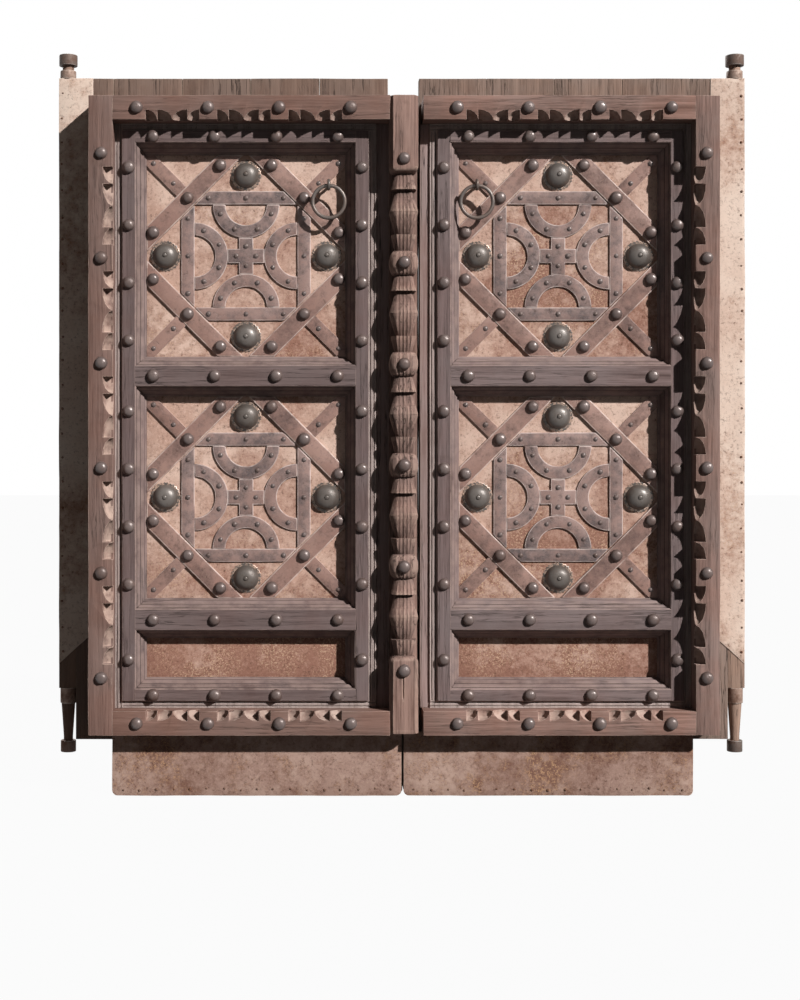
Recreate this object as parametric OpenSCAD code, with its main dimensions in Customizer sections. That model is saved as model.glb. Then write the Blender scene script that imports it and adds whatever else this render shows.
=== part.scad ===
// A pair of carved, iron-strapped timber door leaves that turn on corner pivots.
// The front faces -Y, the meeting line is at X = 0 and the lower edges stand at Z = 0.

/* [Leaf layout, outward from the meeting line] */
// Distance from the meeting line to the end of the flat meeting strip
meeting_w = 70; // [62:1:90]
// Width of the plain fillet strips round the framing
fillet_w = 20; // [14:1:26]
// Width of the flat face of a stile
stile_face = 33; // [28:1:44]
// Width of the sloping moulding round a panel
moulding_w = 26; // [20:1:32]
// Clear width of a panel
panel_w = 522; // [500:1:560]
// Width of the carved border timbers
border_w = 62; // [52:1:70]
// Width of the plain edge outside the border
edge_w = 90; // [80:1:110]

/* [Leaf layout, upward from the lower edge] */
// Height of the skirt board
skirt_h = 168; // [150:1:190]
// Height of the flat face of the bottom and top rails
end_rail_face = 29; // [24:1:40]
// Height of the small panel
small_panel_h = 104; // [80:1:140]
// Height of the flat face of the rails between panels
rail_face = 52; // [40:1:64]
// Clear height of a large panel
panel_h = 530; // [505:1:560]
// Height of the plain board above the top border
head_margin = 66; // [50:1:90]

/* [Thickness] */
// Thickness of the planks
plank_t = 32; // [26:1:40]
// Thickness of the ledges on the back
ledge_t = 28; // [20:1:36]
// Height of the ledges on the back
ledge_h = 110; // [80:1:130]
// Thickness of the sheet iron
sheet_t = 2; // [1:0.5:3]
// Height of the stiles and rails above the planks
frame_t = 50; // [44:1:60]
// Height of the fillet strips above the planks
fillet_t = 42; // [34:1:46]
// Height of the meeting strip above the planks
strip_t = 36; // [28:1:40]
// Height of the carved border above the planks
border_t = 95; // [80:1:110]
// Height of the skirt's timber in front of the planks
skirt_t = 32; // [24:1:42]

/* [Meeting post] */
// Half width of the post at its widest
post_half = 36.5; // [32:0.5:38]
// Height of the post above the planks
post_t = 100; // [86:1:112]
// Length of the plain block at each end of the post
post_block = 200; // [160:1:230]
// Length of a round bead on the post
bead_len = 62; // [50:1:74]
// Gap between the post and the right leaf
post_gap = 8.5; // [7:0.5:12]
// Gap between the two skirts
skirt_gap = 6; // [5:0.5:9]

/* [Ironwork] */
// Distance from the panel's edge in to the strap square
square_inset = 91; // [84:1:100]
// Width of the square and corner straps
strap_w = 35; // [28:1:40]
// Width of the long diagonal straps
diagonal_w = 48; // [36:1:54]
// Width of the bars of the small cross
cross_w = 38; // [30:1:42]
// Thickness of the straps
strap_t = 5; // [3:0.5:7]
// Thickness of the long diagonals
diagonal_t = 7; // [5:0.5:9]
// Radius of a boss
boss_r = 40; // [34:1:44]
// Clear space between a boss and the straps beside it
boss_clear = 2; // [1:0.5:4]
// Radius of a stud head
stud_r = 17; // [13:0.5:19]
// Height of a stud head
stud_h = 13; // [8:0.5:15]
// Radius of a rivet head
rivet_r = 6; // [4:0.5:7]
// Height of a rivet head
rivet_h = 3.5; // [2:0.5:5]

/* [Ring pulls] */
// Radius of a ring to the middle of its bar
ring_r = 42; // [34:1:48]
// Radius of the ring's bar
ring_bar = 5; // [4:0.5:6]
// Distance of the ring's axis in front of the planks
ring_stand = 40; // [34:1:50]
// Staple's distance from the panel's inner edge
staple_inset = 44; // [37:1:49]
// Staple's distance below the panel's upper edge
staple_drop = 82; // [80:1:90]

/* [Pivots] */
// Width of the pivot stile at the outer edge
pivot_stile_w = 44; // [42:1:56]
// Height of the lower edge of the planks at the pivot
notch_h = 141; // [120:1:160]
// Length of the lower pivot below its band
pivot_drop = 110; // [90:1:118]
// Height of the lower edge of the band
band_z = 235; // [225:1:250]
// Height of a pivot band
band_h = 41; // [30:1:50]
// Radius of the round end inside the lower socket
toe_r = 12; // [9:0.5:14]
// Radius of the upper pivot
head_r = 15; // [12:0.5:17]
// Length of the upper pivot above the planks
head_rise = 60; // [50:1:80]
// Radial running clearance of a pivot in its socket
pivot_clear = 0.1; // [0.05:0.01:0.1]

/* [Hidden] */
$fn = 48;

LEFT = -1;
RIGHT = 1;

// Places across a leaf, outward from the meeting line
right_edge_x = post_half + post_gap;
inner_stile_x = meeting_w + fillet_w;
inner_moulding_x = inner_stile_x + stile_face;
panel_x = inner_moulding_x + moulding_w;
panel_end_x = panel_x + panel_w;
panel_mid_x = panel_x + panel_w / 2;
outer_moulding_end_x = panel_end_x + moulding_w;
outer_stile_end_x = outer_moulding_end_x + stile_face;
border_x = outer_stile_end_x + fillet_w;
border_end_x = border_x + border_w;
leaf_x = border_end_x + edge_w;
pivot_x = leaf_x - pivot_stile_w / 2;
plank_end_x = leaf_x - pivot_stile_w;
skirt_end_x = border_x + 8;

// Places up a leaf
sill_top_z = skirt_h + border_w;
bottom_rail_z = sill_top_z + fillet_w;
small_panel_z = bottom_rail_z + end_rail_face + moulding_w;
lower_rail_z = small_panel_z + small_panel_h + moulding_w;
panel_a_z = lower_rail_z + rail_face + moulding_w;
middle_rail_z = panel_a_z + panel_h + moulding_w;
panel_b_z = middle_rail_z + rail_face + moulding_w;
top_rail_z = panel_b_z + panel_h + moulding_w;
head_fillet_z = top_rail_z + end_rail_face;
head_z = head_fillet_z + fillet_w;
head_top_z = head_z + border_w;
leaf_top_z = head_top_z + head_margin;
panel_mids_z = [panel_a_z + panel_h / 2, panel_b_z + panel_h / 2];

// The depth is centred on Y = 0: studs on the post in front, ledges behind
front_reach = post_t + stud_h;
back_reach = plank_t + ledge_t;
plank_y = (front_reach - back_reach) / 2;
pivot_y = plank_y + plank_t / 2;

// Carved post
post_z = skirt_h + 4;
post_top_z = head_top_z;
post_beads = 4;
carved_len = post_top_z - post_z - 2 * post_block;
group_len = (carved_len - post_beads * bead_len) / (post_beads + 1);
carve_back = frame_t - 2;
bead_pitch = group_len + bead_len;
first_bead_z = post_z + post_block + group_len;
post_stud_inset = 163;
post_stud_zs = concat([post_z + post_stud_inset, post_top_z - post_stud_inset],
    [for (k = [0:post_beads - 1]) first_bead_z + k * bead_pitch + bead_len / 2]);

// Rows of studs
rail_stud_xs = [for (k = [-1.5, -0.5, 0.5, 1.5]) panel_mid_x + 0.3065 * k * panel_w];
panel_stud_zs = [for (k = [-1.5, -0.5, 0.5, 1.5]) 0.283 * k * panel_h];
border_stud_inset = 148;
border_stud_count = 6;
border_stud_pitch = (head_top_z - skirt_h - 2 * border_stud_inset) / (border_stud_count - 1);
border_stud_x = border_x + 0.46 * border_w;
border_stud_zs = [for (k = [0:border_stud_count - 1]) skirt_h + border_stud_inset + k * border_stud_pitch];
sill_stud_x = 137;
sill_stud_pitch = (border_x - border_w - sill_stud_x) / 3;
sill_stud_xs = [for (k = [0:3]) sill_stud_x + k * sill_stud_pitch];
scoop_r = 25;
stud_land = 33;

// The strapwork follows the shorter side of a large panel, measured from its centre
panel_half = min(panel_w, panel_h) / 2;
square_half = panel_half - square_inset;
arch_in = square_half - strap_w;
arch_r = 0.652 * arch_in;
arch_inner_r = arch_r - strap_w + 1;
boss_reach = square_half + boss_r + boss_clear;
diagonal_reach = boss_reach + sqrt(2) * (boss_r + boss_clear + diagonal_w / 2);

// A strap stud's places in one quarter of a panel
end_stud = panel_half - stud_r;
strap_studs = [[end_stud, diagonal_reach - end_stud], [diagonal_reach / 2, diagonal_reach / 2],
    [diagonal_reach - end_stud + 6, end_stud - 6]];

module on_side(side) {
    mirror([side < 0 ? 1 : 0, 0, 0]) children();
}

// A block between two places across, two up and two heights above the planks
module timber(x0, x1, z0, z1, t0, t1) {
    translate([x0, plank_y - t1, z0]) cube([x1 - x0, t1 - t0, z1 - z0]);
}

// Drawn flat, X across and Y up, and stood at a height above the planks
module on_front(x, z, t) {
    translate([x, plank_y - t, z]) rotate([90, 0, 0]) children();
}

module in_quarters() {
    for (sx = [-1, 1], sy = [-1, 1]) mirror([sx < 0 ? 1 : 0, 0]) mirror([0, sy < 0 ? 1 : 0]) children();
}

// Iron pivots and their sockets

module lower_socket() {
    cup_wall = 8;
    cup_depth = 12;
    floor_t = 18;
    toe_z = band_z - pivot_drop;
    translate([pivot_x, pivot_y, toe_z - 0.3]) difference() {
        translate([0, 0, -floor_t]) cylinder(r = toe_r + cup_wall, h = floor_t + cup_depth);
        cylinder(r = toe_r + pivot_clear, h = cup_depth + 1);
    }
}

module upper_socket() {
    ring_wall = 9;
    ring_h = 28;
    translate([pivot_x, pivot_y, leaf_top_z + head_rise - ring_h + 4]) difference() {
        cylinder(r = head_r + ring_wall, h = ring_h);
        translate([0, 0, -1]) cylinder(r = head_r + pivot_clear, h = ring_h + 2);
    }
}

module pivot_sockets() {
    color([0.22, 0.2, 0.19]) for (side = [LEFT, RIGHT]) on_side(side) {
        lower_socket();
        upper_socket();
    }
}

// The outer timber of a leaf, square above and turned to a tapering toe below
module pivot_stile(side) {
    square_z = band_z + band_h;
    shoulder_r = 18;
    toe_len = 22;
    toe_z = band_z - pivot_drop;
    taper_z = toe_z + toe_len;
    color([0.45, 0.33, 0.27]) on_side(side) {
        timber(plank_end_x, leaf_x, square_z, leaf_top_z, -plank_t, 0);
        translate([pivot_x, pivot_y, 0]) {
            translate([0, 0, toe_z]) cylinder(r = toe_r, h = toe_len);
            translate([0, 0, taper_z]) cylinder(r1 = toe_r, r2 = shoulder_r, h = band_z - taper_z);
            translate([0, 0, band_z]) cylinder(r = plank_t / 2, h = square_z - band_z);
            translate([0, 0, leaf_top_z]) cylinder(r = head_r, h = head_rise);
        }
    }
}

module pivot_bands(side) {
    band_r = 21;
    head_band_h = 22;
    color([0.28, 0.25, 0.24]) on_side(side) translate([pivot_x, pivot_y, 0]) {
        translate([0, 0, band_z]) difference() {
            cylinder(r = band_r, h = band_h);
            translate([0, 0, -1]) cylinder(r = plank_t / 2, h = band_h + 2);
        }
        translate([0, 0, leaf_top_z]) difference() {
            cylinder(r = band_r, h = head_band_h);
            translate([0, 0, -1]) cylinder(r = head_r, h = head_band_h + 2);
        }
    }
}

// Planks, skirt and ledges

module planks(side) {
    start_x = side == LEFT ? post_half : right_edge_x;
    wide = (skirt_end_x - start_x) / 4;
    joint = 0.6;
    color([0.5, 0.4, 0.33]) on_side(side) {
        for (k = [0:3])
            timber(start_x + k * wide, start_x + (k + 1) * wide - joint, skirt_h, leaf_top_z, -plank_t, 0);
        timber(skirt_end_x, plank_end_x, notch_h, leaf_top_z, -plank_t, 0);
    }
}

module skirt(side) {
    color([0.5, 0.36, 0.28]) on_side(side)
        timber(skirt_gap / 2, skirt_end_x, 0, skirt_h, -plank_t, skirt_t);
}

// Sheet iron on the skirt's face, its lower corners rounded
module skirt_sheet(side) {
    corner = 14;
    wide = skirt_end_x - skirt_gap / 2;
    color([0.62, 0.45, 0.36]) on_side(side) on_front(skirt_gap / 2, 0, skirt_t) linear_extrude(sheet_t) {
        translate([0, corner]) square([wide, skirt_h - corner]);
        translate([corner, 0]) square([wide - 2 * corner, corner + 1]);
        for (x = [corner, wide - corner]) translate([x, corner]) circle(corner);
    }
}

// Sheet iron on the plain edge, cut slantwise above the pivot
module edge_sheet(side) {
    inner_cut_z = 421;
    outer_cut_z = 340;
    color([0.8, 0.7, 0.62]) on_side(side) on_front(0, 0, 0) linear_extrude(sheet_t)
        polygon([[border_end_x, inner_cut_z], [leaf_x, outer_cut_z], [leaf_x, leaf_top_z],
            [border_end_x, leaf_top_z]]);
}

module ledges(side) {
    inner_x = 60;
    outer_x = plank_end_x - 30;
    drop = (ledge_h - rail_face) / 2;
    zs = [skirt_h + 20, lower_rail_z - drop, middle_rail_z - drop, head_z - ledge_h + 40];
    color([0.46, 0.36, 0.3]) on_side(side) for (z = zs)
        timber(inner_x, outer_x, z, z + ledge_h, -plank_t - ledge_t, -plank_t);
}

// Carved border

// A hollow cut that is widest at its start and closes in a curve
module scoop(len) {
    rotate_extrude() polygon([[0, 0], [scoop_r, 0], [0.94 * scoop_r, 0.35 * len], [0.72 * scoop_r, 0.7 * len],
        [0.36 * scoop_r, 0.93 * len], [0, len]]);
}

// The hollows between two studs, along +Z: two that close upwards, two that close downwards
module scoop_group(len) {
    short_len = 0.21 * len;
    long_len = 0.27 * len;
    space = (len - 2 * short_len - 2 * long_len) / 5;
    translate([0, 0, space]) scoop(short_len);
    translate([0, 0, 2 * space + short_len]) scoop(long_len);
    translate([0, 0, len - 2 * space - short_len]) mirror([0, 0, 1]) scoop(long_len);
    translate([0, 0, len - space]) mirror([0, 0, 1]) scoop(short_len);
}

module border_stile(side) {
    color([0.55, 0.39, 0.32]) on_side(side) difference() {
        timber(border_x, border_end_x, skirt_h, head_top_z, 0, border_t);
        for (k = [0:border_stud_count - 2])
            translate([border_x, plank_y - border_t, border_stud_zs[k] + stud_land])
                scoop_group(border_stud_pitch - 2 * stud_land);
    }
}

// The border along the bottom; its hollows are on the upper edge
module border_rail(side) {
    start_x = side == LEFT ? post_half : right_edge_x + 5;
    small_land = 22;
    difference() {
        timber(start_x, border_x, skirt_h, sill_top_z, 0, border_t);
        for (k = [0:len(sill_stud_xs) - 2])
            translate([sill_stud_xs[k] + small_land, plank_y - border_t, sill_top_z]) rotate([0, 90, 0])
                scoop_group(sill_stud_pitch - 2 * small_land);
    }
}

module border_sill(side) {
    color([0.55, 0.39, 0.32]) on_side(side) border_rail(side);
}

module border_head(side) {
    color([0.55, 0.39, 0.32]) on_side(side)
        translate([0, 0, skirt_h + head_top_z]) mirror([0, 0, 1]) border_rail(side);
}

// Framing

// A strip with two shallow grooves down its face, drawn along +X with its width along +Y
module fillet_strip(len) {
    groove = 3;
    rotate([90, 0, 90]) linear_extrude(len) difference() {
        square([fillet_w, fillet_t]);
        for (x = [0.25, 0.75])
            translate([x * fillet_w - groove / 2, fillet_t - groove]) square([groove, groove + 1]);
    }
}

module fillets(side) {
    high = head_z - sill_top_z;
    wide = outer_stile_end_x - meeting_w;
    color([0.44, 0.38, 0.36]) on_side(side) {
        on_front(meeting_w, sill_top_z, 0) fillet_strip(wide);
        on_front(meeting_w, head_fillet_z, 0) fillet_strip(wide);
        on_front(border_x, sill_top_z, 0) rotate([0, 0, 90]) fillet_strip(high);
        on_front(inner_stile_x, bottom_rail_z, 0) rotate([0, 0, 90])
            fillet_strip(head_fillet_z - bottom_rail_z);
    }
}

module meeting_strip(side) {
    start_x = side == LEFT ? post_half : right_edge_x;
    color([0.5, 0.36, 0.31]) on_side(side) timber(start_x, meeting_w, sill_top_z, head_z, 0, strip_t);
}

// A reeded moulding along +X, its high edge on Y = 0, mitred at both ends
module moulding(len) {
    m = moulding_w;
    f = frame_t;
    intersection() {
        linear_extrude(f) polygon([[-len / 2, -1], [len / 2, -1], [len / 2, 0], [len / 2 - m, m],
            [m - len / 2, m], [-len / 2, 0]]);
        translate([-len / 2, 0, 0]) rotate([90, 0, 90]) linear_extrude(len)
            polygon([[-1, 0], [m, 0], [m, 0.2 * f], [0.84 * m, 0.24 * f], [0.78 * m, 0.38 * f],
                [0.5 * m, 0.56 * f], [0.44 * m, 0.68 * f], [0.18 * m, 0.84 * f], [0.12 * m, 0.94 * f],
                [0, f], [-1, f]]);
    }
}

panel_rows = [[small_panel_z, small_panel_h], [panel_a_z, panel_h], [panel_b_z, panel_h]];

module stile(x0, edge_x, turn) {
    timber(x0, x0 + stile_face, bottom_rail_z, head_fillet_z, 0, frame_t);
    for (row = panel_rows) on_front(edge_x, row[0] + row[1] / 2, 0) rotate([0, 0, turn])
        moulding(row[1] + 2 * moulding_w);
}

module outer_stile(side) {
    color([0.42, 0.35, 0.33]) on_side(side) stile(outer_moulding_end_x, outer_moulding_end_x, 90);
}

module inner_stile(side) {
    color([0.42, 0.35, 0.33]) on_side(side) stile(inner_stile_x, inner_moulding_x, -90);
}

// A rail between the stiles, with mouldings on the sides that border a panel
module rail(z, face, below, above) {
    wide = panel_w + 2 * moulding_w;
    timber(inner_moulding_x, outer_moulding_end_x, z, z + face, 0, frame_t);
    if (above) on_front(panel_mid_x, z + face, 0) moulding(wide);
    if (below) on_front(panel_mid_x, z, 0) rotate([0, 0, 180]) moulding(wide);
}

module bottom_rail(side) {
    color([0.42, 0.35, 0.33]) on_side(side) rail(bottom_rail_z, end_rail_face, false, true);
}

module lower_rail(side) {
    color([0.42, 0.35, 0.33]) on_side(side) rail(lower_rail_z, rail_face, true, true);
}

module middle_rail(side) {
    color([0.42, 0.35, 0.33]) on_side(side) rail(middle_rail_z, rail_face, true, true);
}

module top_rail(side) {
    color([0.42, 0.35, 0.33]) on_side(side) rail(top_rail_z, end_rail_face, true, false);
}

module panel_sheets(side) {
    color([0.72, 0.55, 0.46]) on_side(side) for (row = panel_rows)
        timber(panel_x, panel_end_x, row[0], row[0] + row[1], 0, sheet_t);
}

// Strapwork, drawn flat about the panel's centre

module panel_field() {
    square([panel_w, panel_h], center = true);
}

// The long diagonals, which lie over the other straps
module diagonal_shape() {
    offset_in = diagonal_reach / sqrt(2);
    intersection() {
        panel_field();
        for (k = [0:3]) rotate(45 + 90 * k) translate([offset_in, 0])
            square([diagonal_w, 2 * panel_h], center = true);
    }
}

// The square's bars end against the long diagonals
module square_shape() {
    bar_end = min(2 * arch_in - 1, diagonal_reach - diagonal_w / sqrt(2));
    intersection() {
        difference() {
            square(2 * square_half, center = true);
            square(2 * arch_in, center = true);
        }
        rotate(45) square(sqrt(2) * bar_end, center = true);
    }
}

module corner_shape() {
    difference() {
        intersection() {
            panel_field();
            for (turn = [45, 135]) rotate(turn) square([3 * panel_h, strap_w], center = true);
        }
        square(2 * square_half, center = true);
        diagonal_shape();
    }
}

module arch_shape() {
    for (k = [0:3]) rotate(90 * k) intersection() {
        translate([arch_in, 0]) difference() {
            circle(arch_r);
            circle(arch_inner_r);
        }
        translate([0, -arch_r]) square([arch_in, 2 * arch_r]);
    }
}

module cross_shape() {
    difference() {
        for (turn = [0, 90]) rotate(turn) square([2 * (arch_in - arch_inner_r), cross_w], center = true);
        for (k = [0:3]) rotate(90 * k) translate([arch_in, 0]) circle(arch_r);
    }
}

// Straps of both large panels of a leaf
module straps(side, t) {
    color([0.42, 0.33, 0.33]) on_side(side) for (z = panel_mids_z)
        on_front(panel_mid_x, z, sheet_t) linear_extrude(t) children();
}

// Heads of the fasteners

module dome(r, h) {
    ball = (r * r + h * h) / (2 * h);
    intersection() {
        translate([0, 0, h - ball]) sphere(ball);
        cylinder(r = r, h = h + 1);
    }
}

// A dome on a toothed rim, with a small knob at its crown
module boss() {
    teeth = 28;
    rim_t = 2;
    dome_r = 0.88 * boss_r;
    dome_h = 0.62 * boss_r;
    knob_r = 5;
    linear_extrude(rim_t) polygon([for (k = [0:2 * teeth - 1]) let (r = k % 2 == 0 ? boss_r : 0.93 * boss_r)
        [r * cos(180 * k / teeth), r * sin(180 * k / teeth)]]);
    dome(dome_r, dome_h);
    translate([0, 0, dome_h - 1]) dome(knob_r, 4);
}

module bosses(side) {
    color([0.36, 0.36, 0.3]) on_side(side) for (z = panel_mids_z) on_front(panel_mid_x, z, sheet_t)
        for (k = [0:3]) rotate(90 * k) translate([boss_reach, 0]) boss();
}

module studs(side) {
    border_sides = [for (z = border_stud_zs) [border_stud_x, z]];
    border_ends = [for (x = sill_stud_xs) each [[x, skirt_h + border_w / 2], [x, head_top_z - border_w / 2]]];
    rail_zs = [bottom_rail_z + end_rail_face / 2, lower_rail_z + rail_face / 2, middle_rail_z + rail_face / 2,
        top_rail_z + end_rail_face / 2];
    rails = [for (z = rail_zs) for (x = rail_stud_xs) [x, z]];
    stile_zs = concat([small_panel_z + small_panel_h / 2],
        [for (mid = panel_mids_z) for (dz = panel_stud_zs) mid + dz]);
    stile_xs = [inner_stile_x + stile_face / 2, outer_stile_end_x - stile_face / 2];
    stiles = [for (z = stile_zs) for (x = stile_xs) [x, z]];
    color([0.3, 0.27, 0.26]) on_side(side) {
        for (p = concat(border_sides, border_ends)) on_front(p[0], p[1], border_t) dome(stud_r, stud_h);
        for (p = concat(rails, stiles)) on_front(p[0], p[1], frame_t) dome(stud_r - 2, stud_h);
        for (z = panel_mids_z) on_front(panel_mid_x, z, sheet_t + diagonal_t)
            in_quarters() for (p = strap_studs) translate(p) dome(stud_r - 1, stud_h);
        if (side == LEFT) for (z = post_stud_zs) on_front(0, z, post_t) dome(stud_r, stud_h);
    }
}

module rivets(side) {
    mid_r = (arch_r + arch_inner_r) / 2;
    bar = square_half - strap_w / 2;
    corner_rivets = [diagonal_reach / 2 + diagonal_w - 10, panel_half - 18];
    color([0.34, 0.27, 0.26]) on_side(side) for (z = panel_mids_z)
        on_front(panel_mid_x, z, sheet_t + strap_t) for (k = [0:3]) rotate(90 * k) {
            for (along = [-0.58, 0, 0.58]) translate([bar, along * square_half]) dome(rivet_r, rivet_h);
            for (turn = [-70, -25, 25, 70]) translate([arch_in - mid_r * cos(turn), mid_r * sin(turn)])
                dome(rivet_r, rivet_h);
            translate([0.55 * (arch_in - arch_r), 0]) dome(rivet_r, rivet_h);
            for (reach = corner_rivets) translate([reach, reach]) dome(rivet_r, rivet_h);
        }
}

// Ring pulls

module place_staple() {
    translate([panel_mid_x - panel_half + staple_inset, plank_y, panel_mids_z[1] + panel_half - staple_drop])
        children();
}

// An eye bolt through the sheet; the ring's bar lies in the bottom of its eye
module staple(side) {
    eye_bar = 4;
    eye_r = ring_bar + 6.5;
    eye_up = eye_r - eye_bar - ring_bar - 0.3;
    rose_r = 6;
    shank_end = ring_stand - eye_r;
    color([0.25, 0.23, 0.22]) on_side(side) place_staple() {
        translate([0, -sheet_t, eye_up]) rotate([90, 0, 0]) {
            cylinder(r = rose_r, h = 3);
            cylinder(r = eye_bar, h = shank_end - sheet_t);
        }
        translate([0, -ring_stand, eye_up]) rotate([0, 90, 0])
            rotate_extrude() translate([eye_r, 0]) circle(eye_bar);
    }
}

module ring(side) {
    color([0.3, 0.28, 0.27]) on_side(side) place_staple()
        translate([0, -ring_stand, -ring_r]) rotate([90, 0, 0])
            rotate_extrude() translate([ring_r, 0]) circle(ring_bar);
}

// Carved meeting post, on the left leaf

// The carving is a list of rows: height, half width and the width of the corner chamfer
function bell(z, len, narrow, wide) = [[z, narrow, 0.35 * narrow],
    [z + 0.55 * len, 0.62 * wide + 0.38 * narrow, 10], [z + len - 0.5, wide, 12]];

// A short and a long bell that both widen upwards
function widening(z, len) = concat(bell(z, 0.42 * len, 0.58 * post_half, 0.88 * post_half),
    bell(z + 0.42 * len, 0.58 * len, 0.52 * post_half, post_half));

function turned_over(z, len, rows) = [for (k = [len(rows) - 1:-1:0])
    [2 * z + len - rows[k][0], rows[k][1], rows[k][2]]];

// Two bells that widen to the middle of the group, then two that narrow
function carved_group(z, len) = let (half = len / 2)
    concat(widening(z, half), turned_over(z + half, half, widening(z + half, half)));

function bead(z) = [for (k = [0:6]) let (a = -72 + 24 * k)
    [z + bead_len / 2 + (bead_len / 2 - 0.5) * sin(a) / sin(72), post_half * (0.62 + 0.38 * cos(a)), 12]];

function block(z0, z1) = [[z0, post_half, 8], [z1, post_half, 8]];

module meeting_post() {
    shoulder = 10;
    rows = concat(
        block(post_z, post_z + post_block - shoulder),
        [[post_z + post_block - 0.5, post_half - shoulder, 8]],
        [for (k = [0:post_beads]) each concat(
            carved_group(post_z + post_block + k * bead_pitch, group_len),
            k < post_beads ? bead(first_bead_z + k * bead_pitch) : [])],
        [[post_top_z - post_block + 0.5, post_half - shoulder, 8]],
        block(post_top_z - post_block + shoulder, post_top_z));
    front = function (half) carve_back
        + (post_t - carve_back) * min(1, 0.25 + 0.75 * half / (0.97 * post_half));
    section = function (row) let (w = row[1], c = row[2], f = front(row[1]))
        [[-w, carve_back - 4], [-w, f - c], [c - w, f], [w - c, f], [w, f - c], [w, carve_back - 4]];
    points = [for (row = rows) each [for (p = section(row)) [p[0], plank_y - p[1], row[0]]]];
    n = 6;
    last = len(rows) - 1;
    color([0.56, 0.46, 0.39]) {
        timber(-post_half, post_half, post_z, post_top_z, -plank_t, carve_back);
        polyhedron(points, concat(
            [[for (k = [0:n - 1]) k]],
            [for (r = [0:last - 1]) for (k = [0:n - 1])
                let (a = r * n + k, b = r * n + (k + 1) % n) each [[a, a + n, b + n], [a, b + n, b]]],
            [[for (k = [0:n - 1]) last * n + n - 1 - k]]));
    }
}

pivot_sockets();
meeting_post();
planks(LEFT);  // left_planks
skirt(LEFT);  // left_skirt
skirt_sheet(LEFT);  // left_skirt_sheet
edge_sheet(LEFT);  // left_edge_sheet
pivot_stile(LEFT);  // left_pivot_stile
pivot_bands(LEFT);  // left_pivot_bands
border_stile(LEFT);  // left_border_stile
border_sill(LEFT);  // left_border_sill
border_head(LEFT);  // left_border_head
fillets(LEFT);  // left_fillets
meeting_strip(LEFT);  // left_meeting_strip
outer_stile(LEFT);  // left_outer_stile
inner_stile(LEFT);  // left_inner_stile
bottom_rail(LEFT);  // left_bottom_rail
lower_rail(LEFT);  // left_lower_rail
middle_rail(LEFT);  // left_middle_rail
top_rail(LEFT);  // left_top_rail
panel_sheets(LEFT);  // left_panel_sheets
straps(LEFT, strap_t) square_shape();  // left_square_straps
straps(LEFT, diagonal_t) diagonal_shape();  // left_diagonal_straps
straps(LEFT, strap_t) corner_shape();  // left_corner_straps
straps(LEFT, strap_t) arch_shape();  // left_arch_straps
straps(LEFT, strap_t) cross_shape();  // left_cross_straps
bosses(LEFT);  // left_bosses
studs(LEFT);  // left_studs
rivets(LEFT);  // left_rivets
ledges(LEFT);  // left_ledges
staple(LEFT);  // left_staple
ring(LEFT);  // left_ring
planks(RIGHT);  // right_planks
skirt(RIGHT);  // right_skirt
skirt_sheet(RIGHT);  // right_skirt_sheet
edge_sheet(RIGHT);  // right_edge_sheet
pivot_stile(RIGHT);  // right_pivot_stile
pivot_bands(RIGHT);  // right_pivot_bands
border_stile(RIGHT);  // right_border_stile
border_sill(RIGHT);  // right_border_sill
border_head(RIGHT);  // right_border_head
fillets(RIGHT);  // right_fillets
meeting_strip(RIGHT);  // right_meeting_strip
outer_stile(RIGHT);  // right_outer_stile
inner_stile(RIGHT);  // right_inner_stile
bottom_rail(RIGHT);  // right_bottom_rail
lower_rail(RIGHT);  // right_lower_rail
middle_rail(RIGHT);  // right_middle_rail
top_rail(RIGHT);  // right_top_rail
panel_sheets(RIGHT);  // right_panel_sheets
straps(RIGHT, strap_t) square_shape();  // right_square_straps
straps(RIGHT, diagonal_t) diagonal_shape();  // right_diagonal_straps
straps(RIGHT, strap_t) corner_shape();  // right_corner_straps
straps(RIGHT, strap_t) arch_shape();  // right_arch_straps
straps(RIGHT, strap_t) cross_shape();  // right_cross_straps
bosses(RIGHT);  // right_bosses
studs(RIGHT);  // right_studs
rivets(RIGHT);  // right_rivets
ledges(RIGHT);  // right_ledges
staple(RIGHT);  // right_staple
ring(RIGHT);  // right_ring
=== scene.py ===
import math

import bmesh
import bpy
from mathutils import Matrix, Vector, noise


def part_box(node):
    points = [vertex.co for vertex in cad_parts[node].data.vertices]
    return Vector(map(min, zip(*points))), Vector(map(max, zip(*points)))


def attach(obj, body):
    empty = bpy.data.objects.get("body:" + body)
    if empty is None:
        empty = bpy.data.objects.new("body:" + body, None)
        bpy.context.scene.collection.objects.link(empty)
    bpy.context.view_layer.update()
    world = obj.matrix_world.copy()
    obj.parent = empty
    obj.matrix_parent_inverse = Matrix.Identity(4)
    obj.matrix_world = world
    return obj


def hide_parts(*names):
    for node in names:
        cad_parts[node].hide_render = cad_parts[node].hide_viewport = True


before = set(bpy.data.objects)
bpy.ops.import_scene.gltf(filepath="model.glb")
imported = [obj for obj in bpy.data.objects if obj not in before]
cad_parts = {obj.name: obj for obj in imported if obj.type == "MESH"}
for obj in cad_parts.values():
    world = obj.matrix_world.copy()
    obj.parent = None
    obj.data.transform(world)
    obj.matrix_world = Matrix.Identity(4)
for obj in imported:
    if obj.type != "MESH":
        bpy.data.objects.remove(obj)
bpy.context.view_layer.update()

# Planks and ledges
# Each leaf is a row of upright softwood boards, held together by four cross ledges on the back.
# The boards are sawn, unpainted and grey with age; the ledges are clenched on with forged nails.

sides = {"left": -1, "right": 1}
noise.seed_set(803)


def feed(tree, made, inputs):
    for key, value in inputs.items():
        if isinstance(value, bpy.types.NodeSocket):
            tree.links.new(value, made.inputs[key])
        else:
            made.inputs[key].default_value = value


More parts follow.
